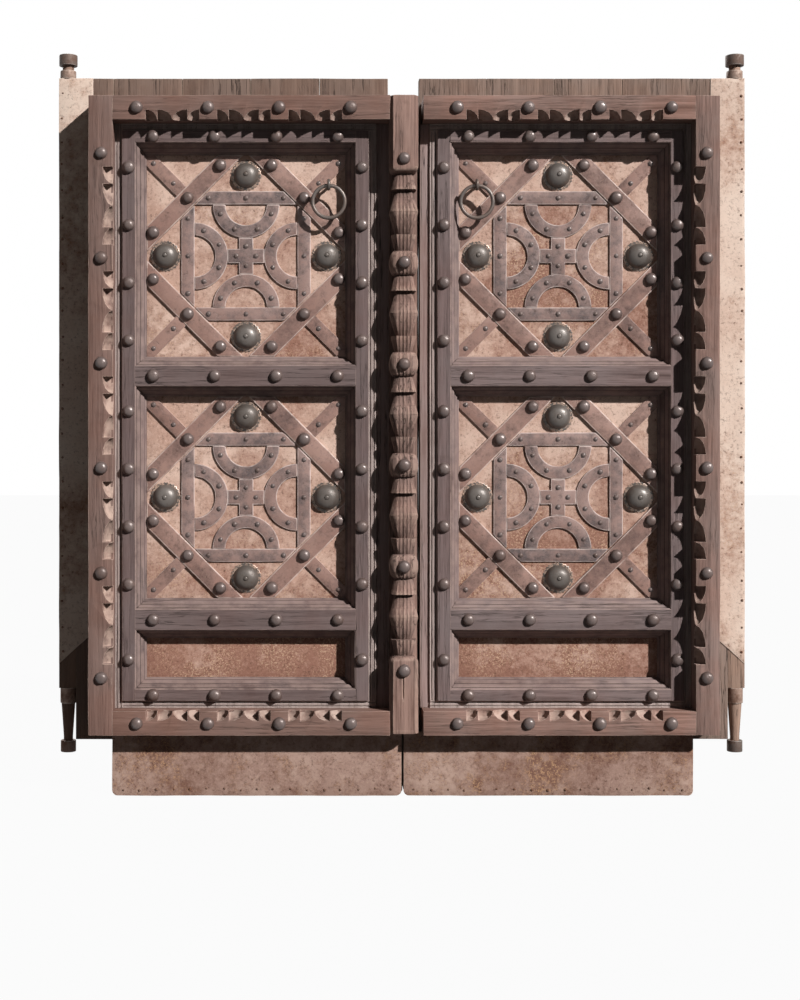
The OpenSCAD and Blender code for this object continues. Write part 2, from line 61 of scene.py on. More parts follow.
def add_node(tree, kind, inputs=None, **settings):
    made = tree.nodes.new(kind)
    for key, value in settings.items():
        setattr(made, key, value)
    feed(tree, made, inputs or {})
    return made


def start_group(name, inputs, outputs, kind="ShaderNodeTree"):
    group = bpy.data.node_groups.new(name, kind)
    for label, form in inputs.items():
        group.interface.new_socket(label, in_out="INPUT", socket_type="NodeSocket" + form)
    for label, form in outputs.items():
        group.interface.new_socket(label, in_out="OUTPUT", socket_type="NodeSocket" + form)
    return group, group.nodes.new("NodeGroupInput").outputs, group.nodes.new("NodeGroupOutput")


def blend_colours(tree, share, first, second):
    inputs = {0: share, 6: first, 7: second}
    return add_node(tree, "ShaderNodeMix", inputs, data_type="RGBA").outputs[2]


def spread(tree, value, low, high, to_low=0.0, to_high=1.0):
    inputs = {0: value, 1: low, 2: high, 3: to_low, 4: to_high}
    return add_node(tree, "ShaderNodeMapRange", inputs).outputs[0]


def sums(tree, how, first, second=0.0):
    return add_node(tree, "ShaderNodeMath", {0: first, 1: second}, operation=how).outputs[0]


def times(tree, first, second):
    return sums(tree, "MULTIPLY", first, second)


def cloud(tree, place, scale, detail, rough):
    inputs = {"Vector": place, "Scale": scale, "Detail": detail, "Roughness": rough}
    return add_node(tree, "ShaderNodeTexNoise", inputs).outputs["Fac"]


grain_group, grain_in, grain_out = start_group(
    "timber grain",
    {"Fibre": "Vector", "Place": "Vector", "Pale": "Color", "Deep": "Color", "Grey": "Color",
     "Greying": "Float", "Checks": "Float"},
    {"Color": "Color", "Roughness": "Float", "Height": "Float"})
fibres = cloud(grain_group, grain_in["Fibre"], 230, 7, 0.72)
rings = cloud(grain_group, grain_in["Fibre"], 44, 5, 0.6)
weather = cloud(grain_group, grain_in["Place"], 5.5, 7, 0.62)
stain = cloud(grain_group, grain_in["Place"], 21, 5, 0.6)
tone = sums(grain_group, "ADD", times(grain_group, fibres, 0.55), times(grain_group, rings, 0.45))
wood = blend_colours(grain_group, spread(grain_group, tone, 0.41, 0.59),
                     grain_in["Deep"], grain_in["Pale"])
greyed = times(grain_group, spread(grain_group, weather, 0.38, 0.62), grain_in["Greying"])
wood = blend_colours(grain_group, greyed, wood, grain_in["Grey"])
stained = spread(grain_group, stain, 0.62, 0.8, 0.0, 0.55)
wood = blend_colours(grain_group, stained, wood, grain_in["Deep"])
sideways = add_node(grain_group, "ShaderNodeSeparateXYZ", {0: grain_in["Place"]}).outputs[0]
left_darker = spread(grain_group, sideways, 0.2, -0.2, 0.0, 0.4)
wood = blend_colours(grain_group, left_darker, wood, grain_in["Deep"])
split = sums(grain_group, "ABSOLUTE", sums(grain_group, "SUBTRACT", rings, 0.5))
split = times(grain_group, spread(grain_group, split, 0.003, 0.013, 1.0, 0.0),
              spread(grain_group, weather, 0.42, 0.6))
split = times(grain_group, split, grain_in["Checks"])
wood = blend_colours(grain_group, split, wood, (0.025, 0.017, 0.014, 1))
feed(grain_group, grain_out, {
    "Color": wood,
    "Roughness": spread(grain_group, fibres, 0.3, 0.7, 0.7, 0.92),
    "Height": sums(grain_group, "SUBTRACT", times(grain_group, tone, 0.8), split)})

# Worn value: rubbed pale on rounded arrises, which is real wear; a painted highlight where it is
# put on sloped faces and rim beads; painted shade, near black, where it is negative, in sunk
# quirks and carved necks.
wear_and_light_group, wear_and_light_in, wear_and_light_out = start_group(
    "arris wear and painted light",
    {"Place": "Vector", "Wear and painted light": "Float", "Base": "Color", "Bare and highlight": "Color", "Amount": "Float"},
    {"Color": "Color"})
rubbed_and_highlit = spread(wear_and_light_group, cloud(wear_and_light_group, wear_and_light_in["Place"], 30, 5, 0.6), 0.3, 0.58)
rubbed_and_highlit = times(wear_and_light_group, times(wear_and_light_group, rubbed_and_highlit, wear_and_light_in["Wear and painted light"]), wear_and_light_in["Amount"])
painted_recess_shade = blend_colours(wear_and_light_group, spread(wear_and_light_group, wear_and_light_in["Wear and painted light"], 0, -1, 0.0, 0.8),
                       wear_and_light_in["Base"], (0.035, 0.025, 0.022, 1))
feed(wear_and_light_group, wear_and_light_out, {"Color": blend_colours(wear_and_light_group, rubbed_and_highlit, painted_recess_shade, wear_and_light_in["Bare and highlight"])})


def start_material(name):
    material = bpy.data.materials.new(name)
    material.use_nodes = True
    tree = material.node_tree
    place = add_node(tree, "ShaderNodeTexCoord").outputs["Object"]
    return material, tree, tree.nodes["Principled BSDF"], place


def lay_finish(tree, surface, place, under, bare_and_highlight, wear_and_highlight, bump_strength, bump_depth):
    wear_and_light = add_node(tree, "ShaderNodeAttribute", attribute_name="wear_and_light").outputs["Fac"]
    rubbing = add_node(tree, "ShaderNodeGroup", {
        "Place": place, "Wear and painted light": wear_and_light, "Base": under["Color"], "Bare and highlight": (*bare_and_highlight, 1), "Amount": wear_and_highlight,
    }, node_tree=wear_and_light_group)
    bump = add_node(tree, "ShaderNodeBump", {
        "Strength": bump_strength, "Distance": bump_depth, "Height": under["Height"]})
    feed(tree, surface, {"Base Color": rubbing.outputs["Color"], "Normal": bump.outputs[0]})


def timber_finish(name, along, pale, deep, grey, bare_and_highlight, greying, checks):
    material, tree, surface, place = start_material(name)
    stretch = [0.035 if axis == along else 1.0 for axis in "XYZ"]
    fibre = add_node(tree, "ShaderNodeMapping", {"Vector": place, "Scale": stretch}).outputs[0]
    grain = add_node(tree, "ShaderNodeGroup", {
        "Fibre": fibre, "Place": place, "Pale": (*pale, 1), "Deep": (*deep, 1),
        "Grey": (*grey, 1), "Greying": greying, "Checks": checks,
    }, node_tree=grain_group).outputs
    lay_finish(tree, surface, place, grain, bare_and_highlight, 0.6, 0.8, 0.003)
    feed(tree, surface, {"Roughness": grain["Roughness"], "Specular IOR Level": 0.12})
    return material


def make_object(name, shape, crease=None):
    mesh = bpy.data.meshes.new(name)
    shape.to_mesh(mesh)
    shape.free()
    if crease:
        mesh.shade_smooth()
        mesh.set_sharp_from_angle(angle=math.radians(crease))
    piece = bpy.data.objects.new(name, mesh)
    bpy.context.scene.collection.objects.link(piece)
    return piece


def is_arris(edge, least):
    return edge.is_manifold and edge.is_convex and edge.calc_face_angle(0) > math.radians(least)


def worn_copy(source, edge, wobble=0.0008, step=0.07, crease=32, groove=0.0, painted_slope_light=0.0):
    shape = bmesh.new()
    shape.from_mesh(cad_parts[source].data)
    bmesh.ops.remove_doubles(shape, verts=shape.verts, dist=2e-5)
    bmesh.ops.dissolve_limit(shape, angle_limit=math.radians(1), verts=shape.verts,
                             edges=shape.edges)
    shape.normal_update()
    # Sloped faces take a painted highlight value, sunk quirk faces take -1 for painted shade, and
    # rounded arrises take 1 for rubbed wear.
    wear_and_light = shape.faces.layers.float.new("wear_and_light")
    for face in shape.faces:
        if max(abs(part) for part in face.normal) < 0.97:
            face[wear_and_light] = painted_slope_light
    quirks = [e for e in shape.edges if groove and e.is_manifold and not e.is_convex
              and math.radians(12) < e.calc_face_angle(0) < math.radians(45)]
    if quirks:
        sunk = bmesh.ops.bevel(shape, geom=quirks, offset=groove, segments=1, affect="EDGES",
                               clamp_overlap=True)
        for face in sunk["faces"]:
            face[wear_and_light] = -1
            inward = face.normal * -groove
            for vert in face.verts:
                vert.co += inward
    arrises = [e for e in shape.edges
               if is_arris(e, 28) and min(f[wear_and_light] for f in e.link_faces) >= 0]
    rounded = bmesh.ops.bevel(shape, geom=arrises, offset=edge, segments=2, profile=0.6,
                              affect="EDGES", clamp_overlap=True)
    for face in rounded["faces"]:
        face[wear_and_light] = 1
    low = Vector([min(v.co[k] for v in shape.verts) for k in range(3)])
    high = Vector([max(v.co[k] for v in shape.verts) for k in range(3)])
    for axis in (0, 2):
        normal = Vector((axis == 0, 0, axis == 2))
        for k in range(1, int((high[axis] - low[axis]) / step) + 1):
            bmesh.ops.bisect_plane(shape, geom=shape.verts[:] + shape.edges[:] + shape.faces[:],
                                   plane_co=low + normal * (k * step), plane_no=normal)
    bmesh.ops.dissolve_degenerate(shape, dist=2e-6, edges=shape.edges)
    for vert in shape.verts:
        broad, fine = noise.noise_vector(vert.co * 7), noise.noise_vector(vert.co * 23)
        vert.co += broad * wobble + fine * wobble * 0.5
    return make_object(source + ".dressed", shape, crease)


def enrol(piece, body, source=None):
    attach(piece, body)
    if source:
        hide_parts(source)


def dress(piece, body, material, source=None):
    piece.data.materials.clear()
    piece.data.materials.append(material)
    enrol(piece, body, source)


def dress_copies(parts, slot, material, edge, **shape):
    for side in sides:
        for part in parts:
            source = f"{side}_{part}"
            dress(worn_copy(source, edge, **shape), side + "_leaf", material, source)


board_wood = timber_finish("sawn boards", "Z", (0.26, 0.172, 0.134), (0.11, 0.067, 0.051),
                           (0.235, 0.18, 0.155), (0.3, 0.23, 0.18), 0.7, 0.8)
ledge_wood = timber_finish("sawn ledges", "X", (0.21, 0.145, 0.105), (0.09, 0.06, 0.044),
                           (0.19, 0.155, 0.135), (0.3, 0.23, 0.18), 0.6, 0.8)
dress_copies(["planks"], "plank_wood", board_wood, 0.0015)
dress_copies(["ledges"], "plank_wood", ledge_wood, 0.003)

# Skirts
# The board below the border, faced with one sheet of iron that is nailed along its lower edge.
# The sheet was painted once and is now rust brown; the board's lower corners are rounded off.

rust_group, rust_in, rust_out = start_group(
    "rusted sheet",
    {"Place": "Vector", "Ground": "Color", "Rust": "Color", "Pale": "Color", "Fleck": "Color",
     "Rusting": "Float", "Paling": "Float", "Pitting": "Float"},
    {"Color": "Color", "Roughness": "Float", "Height": "Float"})
broad = cloud(rust_group, rust_in["Place"], 4.2, 8, 0.62)
blots = cloud(rust_group, rust_in["Place"], 42, 7, 0.72)
pits = cloud(rust_group, rust_in["Place"], 125, 8, 0.82)
shifted = add_node(rust_group, "ShaderNodeMapping",
                   {"Vector": rust_in["Place"], "Location": (7.3, 2.1, 4.4)}).outputs[0]
fade = cloud(rust_group, shifted, 6.5, 7, 0.6)
patch = sums(rust_group, "ADD", times(rust_group, broad, 0.6), times(rust_group, blots, 0.4))
patch = sums(rust_group, "ADD", patch, times(rust_group, rust_in["Rusting"], 0.2))
rust_mask = spread(rust_group, patch, 0.53, 0.68)
paled = times(rust_group, spread(rust_group, fade, 0.42, 0.6), rust_in["Paling"])
sheet = blend_colours(rust_group, paled, rust_in["Ground"], rust_in["Pale"])
sheet = blend_colours(rust_group, rust_mask, sheet, rust_in["Rust"])
pit_mask = times(rust_group, spread(rust_group, pits, 0.52, 0.64), rust_in["Pitting"])
pit_mask = times(rust_group, pit_mask, spread(rust_group, blots, 0.36, 0.6))
sheet = blend_colours(rust_group, pit_mask, sheet, (0.085, 0.04, 0.026, 1))
flake = times(rust_group, spread(rust_group, pits, 0.46, 0.38), rust_in["Pitting"])
flake = times(rust_group, flake, spread(rust_group, rust_mask, 0, 1, 1.0, 0.35))
sheet = blend_colours(rust_group, times(rust_group, flake, 0.6), sheet, rust_in["Pale"])
flecks = spread(rust_group, cloud(rust_group, shifted, 200, 8, 0.8), 0.51, 0.58, 0.0, 0.85)
flecks = times(rust_group, times(rust_group, flecks, rust_mask), rust_in["Pitting"])
flecks = times(rust_group, flecks, spread(rust_group, fade, 0.4, 0.56, 0.1, 1.0))
sheet = blend_colours(rust_group, flecks, sheet, rust_in["Fleck"])
feed(rust_group, rust_out, {
    "Color": sheet,
    "Roughness": spread(rust_group, rust_mask, 0, 1, 0.55, 0.85),
    "Height": sums(rust_group, "SUBTRACT", times(rust_group, blots, 0.6), pit_mask)})


def iron_finish(name, ground, rust, pale, bare_and_highlight, rusting, paling, pitting, metal=0.0, wear_and_highlight=0.8,
                depth=0.0015, polish=1.0, gloss=0.2, fleck=(0.5, 0.3, 0.17)):
    material, tree, surface, place = start_material(name)
    rusted = add_node(tree, "ShaderNodeGroup", {
        "Place": place, "Ground": (*ground, 1), "Rust": (*rust, 1), "Pale": (*pale, 1),
        "Fleck": (*fleck, 1), "Paling": paling, "Pitting": pitting,
        "Rusting": rusting(tree, place) if callable(rusting) else rusting,
    }, node_tree=rust_group).outputs
    lay_finish(tree, surface, place, rusted, bare_and_highlight, wear_and_highlight, 0.5, depth)
    feed(tree, surface, {"Roughness": times(tree, rusted["Roughness"], polish),
                         "Metallic": metal, "Specular IOR Level": gloss})
    return material


skirt_iron = iron_finish("rusted skirt sheet", (0.3, 0.192, 0.156), (0.175, 0.09, 0.066),
                         (0.44, 0.31, 0.255), (0.48, 0.34, 0.27), 0.4, 0.75, 1.0)
corner_round = 0.014
for side in sides:
    low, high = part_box(side + "_skirt")
    outline = [(low.x, high.z), (high.x, high.z)]
    for corner_x, start_angle in ((high.x - corner_round, 0), (low.x + corner_round, -90)):
        for k in range(7):
            turn = math.radians(start_angle - 15 * k)
            outline.append((corner_x + corner_round * math.cos(turn),
                            low.z + corner_round + corner_round * math.sin(turn)))
    board = bmesh.new()
    face = board.faces.new([board.verts.new((x, low.y, z)) for x, z in outline])
    for item in bmesh.ops.extrude_face_region(board, geom=[face])["geom"]:
        if isinstance(item, bmesh.types.BMVert):
            item.co.y = high.y
    bmesh.ops.recalc_face_normals(board, faces=board.faces)
    skirt_board = make_object(side + "_skirt.dressed", board, 30)
    dress(skirt_board, side + "_leaf", ledge_wood, side + "_skirt")
dress_copies(["skirt_sheet"], "skirt_sheet", skirt_iron, 0.0008, wobble=0.0012, step=0.04)

# Plain edge
# The strip outside the carved border is covered with thin sheet iron, pale with old lime paint.
# It is lapped over the pivot stile, cut slantwise at the foot and nailed along its outer edge.

edge_iron = iron_finish("pale edge sheet", (0.6, 0.45, 0.37), (0.36, 0.21, 0.155),
                        (0.69, 0.56, 0.475), (0.75, 0.64, 0.56), 0.22, 0.85, 0.9)
dress_copies(["edge_sheet"], "edge_sheet", edge_iron, 0.0008, wobble=0.0011, step=0.04)

# Pivot stiles
# The outer timber of each leaf, squared above and rounded to a tapering toe that turns in its
# socket. It stays true, without wobble, because the pivots run with a tenth of a millimetre of
# play. Iron bands are shrunk on at the foot and the head so that the wood can't split.

stile_wood = timber_finish("pivot timber", "Z", (0.34, 0.22, 0.165), (0.17, 0.1, 0.073),
                           (0.3, 0.225, 0.185), (0.5, 0.37, 0.3), 0.5, 0.6)
band_iron = iron_finish("shrunk band", (0.3, 0.215, 0.175), (0.17, 0.095, 0.068),
                        (0.42, 0.33, 0.28), (0.5, 0.42, 0.37), 0.35, 0.5, 0.7, metal=0.2,
                        fleck=(0.3, 0.19, 0.13))
dress_copies(["pivot_stile"], "plank_wood", stile_wood, 0.003, wobble=0.0)
dress_copies(["pivot_bands"], "band_iron", band_iron, 0.002)

# Sockets
# Forged cups below and rings above, let into the sill and the lintel, in which the pivots turn.
# They are plain wrought iron, dark and a little rusted.

socket_iron = iron_finish("socket iron", (0.1, 0.08, 0.07), (0.13, 0.07, 0.05),
                          (0.17, 0.14, 0.125), (0.3, 0.27, 0.25), 0.4, 0.4, 0.6, metal=0.4,
                          fleck=(0.16, 0.11, 0.09))
dress(worn_copy("pivot_sockets", 0.0015, wobble=0.0), "sockets", socket_iron,
      "pivot_sockets")

# Carved border
# Heavy reddish timbers round each leaf, their inner arris carved in leaf-like hollows between
# the studs. The level timbers are butted against the uprights, and all are spiked to the boards.

border_upright = timber_finish("border upright", "Z", (0.275, 0.168, 0.14), (0.12, 0.067, 0.054),
                               (0.235, 0.182, 0.167), (0.56, 0.42, 0.35), 0.55, 0.4)
border_level = timber_finish("border level", "X", (0.3, 0.175, 0.142), (0.13, 0.07, 0.054),
                             (0.25, 0.19, 0.172), (0.54, 0.42, 0.36), 0.5, 0.4)
# The sloped faces of the carved hollows are painted towards the pale bare colour, a painted
# highlight where the light catches them.
carving = {"wobble": 0.0013, "painted_slope_light": 0.9}
dress_copies(["border_stile"], "border_wood", border_upright, 0.003, **carving)
dress_copies(["border_sill", "border_head"], "border_wood", border_level, 0.003, **carving)

# Meeting strips and fillets
# Flat strips beside the meeting line, and narrow grooved fillets that fill the step round the
# framing. Both are planed softwood, nailed on, and the fillets have gone pale grey.

strip_wood = timber_finish("meeting strip", "Z", (0.35, 0.255, 0.24), (0.18, 0.115, 0.102),
                           (0.33, 0.272, 0.265), (0.42, 0.33, 0.29), 0.5, 0.9)
fillet_wood = timber_finish("grooved fillet", "Z", (0.45, 0.365, 0.34), (0.2, 0.15, 0.138),
                            (0.46, 0.39, 0.37), (0.56, 0.46, 0.42), 0.6, 0.6)
dress_copies(["meeting_strip"], "strip_wood", strip_wood, 0.002)
dress_copies(["fillets"], "frame_wood", fillet_wood, 0.001)

# Framing
# Stiles and rails planted on the boards to make three panels, with reeded mouldings worked on
# their edges. Grey-brown hardwood, mitred at the panel corners; the arrises are rubbed pale.

upright_wood = timber_finish("framing stile", "Z", (0.2, 0.14, 0.135), (0.085, 0.056, 0.052),
                             (0.2, 0.164, 0.164), (0.41, 0.3, 0.262), 0.6, 0.45)
level_wood = timber_finish("framing rail", "X", (0.22, 0.157, 0.15), (0.09, 0.059, 0.055),
                           (0.22, 0.178, 0.176), (0.41, 0.3, 0.262), 0.6, 0.45)
# Sloped moulding faces are painted half-way towards the pale bare colour as a painted highlight,
# and the sunk quirks between the reeds are painted near black as painted shade.
reeding = {"crease": 14, "groove": 0.0013, "painted_slope_light": 0.5}
dress_copies(["outer_stile", "inner_stile"], "frame_wood", upright_wood, 0.003, **reeding)
dress_copies(["bottom_rail", "lower_rail", "middle_rail", "top_rail"], "frame_wood", level_wood,
             0.003, **reeding)

# Panel sheets
# Each panel is one sheet of thin iron tacked to the boards, its peach paint worn through to rust.
# The rust is worst along the foot of the sheet, where rain stands, and inside the strap square.

panel_mids = (0.778, 1.412)
panel_mid_x = 0.41
panel_foot, panel_pitch, panel_half = 0.513, 0.634, 0.265


def rust_in_panel(tree, place):
    apart = add_node(tree, "ShaderNodeSeparateXYZ", {0: place}).outputs
    above_foot = sums(tree, "SUBTRACT", apart[2], panel_foot)
    in_panel = sums(tree, "FLOORED_MODULO", above_foot, panel_pitch)
    low_down = spread(tree, in_panel, 0.4, 0.0, 0.1, 0.6)
    aside = sums(tree, "SUBTRACT", sums(tree, "ABSOLUTE", apart[0]), panel_mid_x)
    above = sums(tree, "SUBTRACT", in_panel, panel_half)
    off_mid = sums(tree, "MAXIMUM", sums(tree, "ABSOLUTE", aside), sums(tree, "ABSOLUTE", above))
    right_more = spread(tree, apart[0], -0.05, 0.05, 0.12, 0.4)
    inside = spread(tree, off_mid, 0.19, 0.12, 0.0, right_more)
    small_panel = spread(tree, apart[2], 0.5, 0.45, 0.0, 0.9)
    return sums(tree, "ADD", sums(tree, "ADD", low_down, inside), small_panel)


panel_iron = iron_finish("peach panel sheet", (0.46, 0.295, 0.232), (0.26, 0.128, 0.093),
                         (0.65, 0.48, 0.4), (0.6, 0.44, 0.36), rust_in_panel, 0.75, 1.0,
                         fleck=(0.62, 0.43, 0.29))
dress_copies(["panel_sheets"], "panel_sheet", panel_iron, 0.0006, wobble=0.0006, step=0.05)

# Strapwork
# Flat wrought straps form a square, half rings and a small cross in each large panel, and longer
# diagonals over them. They are hammered strip with chamfered edges, rubbed bright there, and
# brown where the scale has stayed.

strap_iron = iron_finish("hammered strap", (0.25, 0.146, 0.12), (0.115, 0.07, 0.062),
                         (0.335, 0.212, 0.177), (0.8, 0.66, 0.6), 0.3, 0.6, 0.7, wear_and_highlight=0.55,
                         depth=0.0025, polish=0.8, gloss=0.3, fleck=(0.3, 0.185, 0.145))
scaled_iron = iron_finish("scaled strap", (0.25, 0.158, 0.136), (0.092, 0.07, 0.07),
                          (0.33, 0.232, 0.21), (0.75, 0.63, 0.59), 0.4, 0.6, 0.7, wear_and_highlight=0.5,
                          depth=0.0025, polish=0.75, gloss=0.35, fleck=(0.24, 0.165, 0.145))
dress_copies(["square_straps", "arch_straps", "cross_straps"], "strap_iron", scaled_iron, 0.0024,
             wobble=0.0006, step=0.09)
dress_copies(["corner_straps"], "strap_iron", strap_iron, 0.0024, wobble=0.0006, step=0.09)
dress_copies(["diagonal_straps"], "strap_iron", strap_iron, 0.003, wobble=0.0008, step=0.09)

# Stud heads
# Domed heads of the forged spikes that hold the border, framing, diagonals and post to the boards.
# Each was hammered over a swage, so no two are quite alike in size or turn.


def turned_head(name, profile, turns, hammered=0.0):
    shape = bmesh.new()
    rows = []
    for radius, rise in profile:
        if radius == 0:
            rows.append([shape.verts.new((0, -rise, 0))] * turns)
        else:
            angles = [2 * math.pi * k / turns for k in range(turns)]
            rows.append([shape.verts.new((radius * math.cos(a), -rise, radius * math.sin(a)))
                         for a in angles])
    for lower, upper in zip(rows, rows[1:]):
        for k in range(turns):
            after = (k + 1) % turns
            corners = dict.fromkeys((lower[k], lower[after], upper[after], upper[k]))
            shape.faces.new(list(corners))
    shape.faces.new(rows[0][::-1])
    for vert in shape.verts:
        if vert.co.y < -0.01:
            vert.co += noise.noise_vector(vert.co * 2.2) * hammered
    bmesh.ops.recalc_face_normals(shape, faces=shape.faces)
    return make_object(name, shape, 50)


heads_tree, heads_in, heads_out = start_group(
    "heads on points",
    {"Places": "Geometry", "Head": "Object", "Radius": "Float", "Rise": "Float",
     "Uneven": "Float", "Seed": "Int", "Finish": "Material"},
    {"Heads": "Geometry"}, "GeometryNodeTree")
head_shape = add_node(heads_tree, "GeometryNodeObjectInfo", {"Object": heads_in["Head"]})
spin = add_node(heads_tree, "FunctionNodeRandomValue",
                {2: 0.0, 3: 6.283, "Seed": heads_in["Seed"]}).outputs[1]
growth = add_node(heads_tree, "FunctionNodeRandomValue", {
    2: sums(heads_tree, "SUBTRACT", 1.0, heads_in["Uneven"]),
    3: sums(heads_tree, "ADD", 1.0, heads_in["Uneven"]), "Seed": heads_in["Seed"]}).outputs[1]
across = times(heads_tree, growth, heads_in["Radius"])
outward = times(heads_tree, growth, heads_in["Rise"])
head_size = add_node(heads_tree, "ShaderNodeCombineXYZ", {0: across, 1: outward, 2: across})
head_turn = add_node(heads_tree, "ShaderNodeCombineXYZ", {1: spin})
placed = add_node(heads_tree, "GeometryNodeInstanceOnPoints", {
    "Points": heads_in["Places"], "Instance": head_shape.outputs["Geometry"],
    "Rotation": head_turn.outputs[0], "Scale": head_size.outputs[0]})
joined = add_node(heads_tree, "GeometryNodeRealizeInstances", {0: placed.outputs[0]})
coated = add_node(heads_tree, "GeometryNodeSetMaterial",
                  {"Geometry": joined.outputs[0], "Material": heads_in["Finish"]})
feed(heads_tree, heads_out, {0: coated.outputs[0]})


def set_heads(name, side, places, head, radius, rise, finish, uneven, seed, source=None):
    points = bpy.data.meshes.new(name)
    points.from_pydata(places, [], [])
    piece = bpy.data.objects.new(name, points)
    bpy.context.scene.collection.objects.link(piece)
    step = piece.modifiers.new("heads", "NODES")
    step.node_group = heads_tree
    values = {"Head": head, "Radius": radius, "Rise": rise, "Uneven": uneven, "Seed": seed,
              "Finish": finish}
    for socket in heads_tree.interface.items_tree:
        if socket.name in values:
            step[socket.identifier] = values[socket.name]
    view = bpy.context.evaluated_depsgraph_get()
    piece_mesh = bpy.data.meshes.new_from_object(piece.evaluated_get(view), depsgraph=view)
    piece.modifiers.clear()
    piece.data = piece_mesh
    piece_mesh.name = name
    enrol(piece, side + "_leaf", source)


board_face_y = 0.0265


def at_height(x, z, height):
    return (x, board_face_y - height, z)


stud_iron = iron_finish("stud iron", (0.11, 0.081, 0.075), (0.085, 0.052, 0.043),
                        (0.17, 0.132, 0.122), (0.4, 0.36, 0.34), 0.25, 0.5, 0.5, metal=0.2,
                        depth=0.001, polish=0.6, gloss=0.5, fleck=(0.16, 0.11, 0.09))
stud_profile = [(1, 0), (1.0, 0.14), (0.93, 0.42), (0.78, 0.68), (0.55, 0.87), (0.3, 0.97), (0, 1)]
stud_head = turned_head("stud head", stud_profile, 20, 0.05)
stud_radius, stud_rise = 0.0163, 0.0138
border_face, framing_face, diagonal_face, bead_face = 0.094, 0.049, 0.0085, 0.0985
four_even = (-1.5, -0.5, 0.5, 1.5)
upright_x, upright_z, upright_pitch = 0.77852, 0.316, 0.27
level_x, level_pitch = 0.137, 0.18367
border_spots = [(upright_x, upright_z + upright_pitch * k) for k in range(6)]
border_spots += [(level_x + level_pitch * k, z) for k in range(4) for z in (0.199, 1.783)]
rail_pitch, rail_mids = 0.16, (0.2645, 0.461, 1.095, 1.7175)
stile_pitch, stile_mids, small_panel_mid = 0.15, (0.1065, 0.7135), 0.357
framing_spots = [(panel_mid_x + k * rail_pitch, z) for k in four_even for z in rail_mids]
stile_spots = [small_panel_mid] + [mid + k * stile_pitch for mid in panel_mids for k in four_even]
framing_spots += [(x, z) for x in stile_mids for z in stile_spots]
diagonal_studs = ((0.244, 0.0613), (0.1527, 0.1527), (0.0673, 0.238))
strap_spots = [(panel_mid_x + sx * a, mid + sz * b) for mid in panel_mids for sx in (-1, 1)
               for sz in (-1, 1) for a, b in diagonal_studs]
bead_z, bead_pitch = 0.6018, 0.2608
post_spots = [0.335, 1.651] + [bead_z + bead_pitch * k for k in range(4)]
for side, sign in sides.items():
    spots = [at_height(sign * x, z, border_face) for x, z in border_spots]
    spots += [at_height(sign * x, z, framing_face) for x, z in framing_spots]
    spots += [at_height(sign * x, z, diagonal_face) for x, z in strap_spots]
    if side == "left":
        spots += [at_height(0, z, bead_face) for z in post_spots]
    set_heads(side + "_stud_heads", side, spots, stud_head, stud_radius, stud_rise,
              stud_iron, 0.05, 11 + sign, side + "_studs")
bpy.data.objects.remove(stud_head)

# Rivet heads
# Small flat-domed heads that fix the straps to the sheet, on the square, half rings, cross and
# corners. They are cold-headed wrought iron, each with a thin collar.

rivet_profile = [(1.25, 0), (1.22, 0.25), (1.0, 0.3), (0.9, 0.7), (0.55, 0.96), (0, 1.05)]
rivet_head = turned_head("rivet head", rivet_profile, 12, 0.04)
rivet_radius, rivet_rise, strap_face = 0.0055, 0.0036, 0.0068
square_reach, square_rivet, cross_rivet = 0.1525, 0.0986, 0.0258
arch_mid, arch_radius = 0.135, 0.071
quarter = [(square_reach, a) for a in (-square_rivet, 0, square_rivet)]
for angle in (-70, -25, 25, 70):
    turn = math.radians(angle)
    quarter.append((arch_mid - arch_radius * math.cos(turn), arch_radius * math.sin(turn)))
quarter += [(cross_rivet, 0), (0.1907, 0.1907), (0.243, 0.243)]
rivet_spots = []
for mid in panel_mids:
    for c, s in ((1, 0), (0, 1), (-1, 0), (0, -1)):
        rivet_spots += [(panel_mid_x + c * a - s * b, mid + s * a + c * b) for a, b in quarter]
for side, sign in sides.items():
    spots = [at_height(sign * x, z, strap_face) for x, z in rivet_spots]
    set_heads(side + "_rivet_heads", side, spots, rivet_head, rivet_radius,
              rivet_rise, stud_iron, 0.1, 21 + sign, side + "_rivets")
bpy.data.objects.remove(rivet_head)

# Bosses
# Cast bronze domes, four in each large panel, with a beaded rim and a turned button at the crown.
# They are held by a spike through the button and have gone olive; every other rim bead gets a
# painted highlight.

boss_bronze = iron_finish("olive bronze", (0.1, 0.085, 0.075), (0.07, 0.052, 0.042),
                          (0.165, 0.146, 0.135), (0.42, 0.29, 0.225), 0.2, 0.5, 0.5, metal=0.25,
                          wear_and_highlight=1.0, depth=0.0008, polish=0.7, gloss=0.5, fleck=(0.14, 0.12, 0.09))
boss_profile = [(1, 0), (1, 0.06), (0.95, 0.1), (0.9, 0.07), (0.84, 0.07), (0.825, 0.2),
                (0.78, 0.4), (0.7, 0.6), (0.58, 0.78), (0.44, 0.9), (0.3, 0.965), (0.17, 0.985),
                (0.15, 0.965), (0.135, 1.03), (0.1, 1.08), (0.05, 1.1), (0, 1.105)]
boss_teeth = 28
boss_head = turned_head("boss head", boss_profile, 2 * boss_teeth)
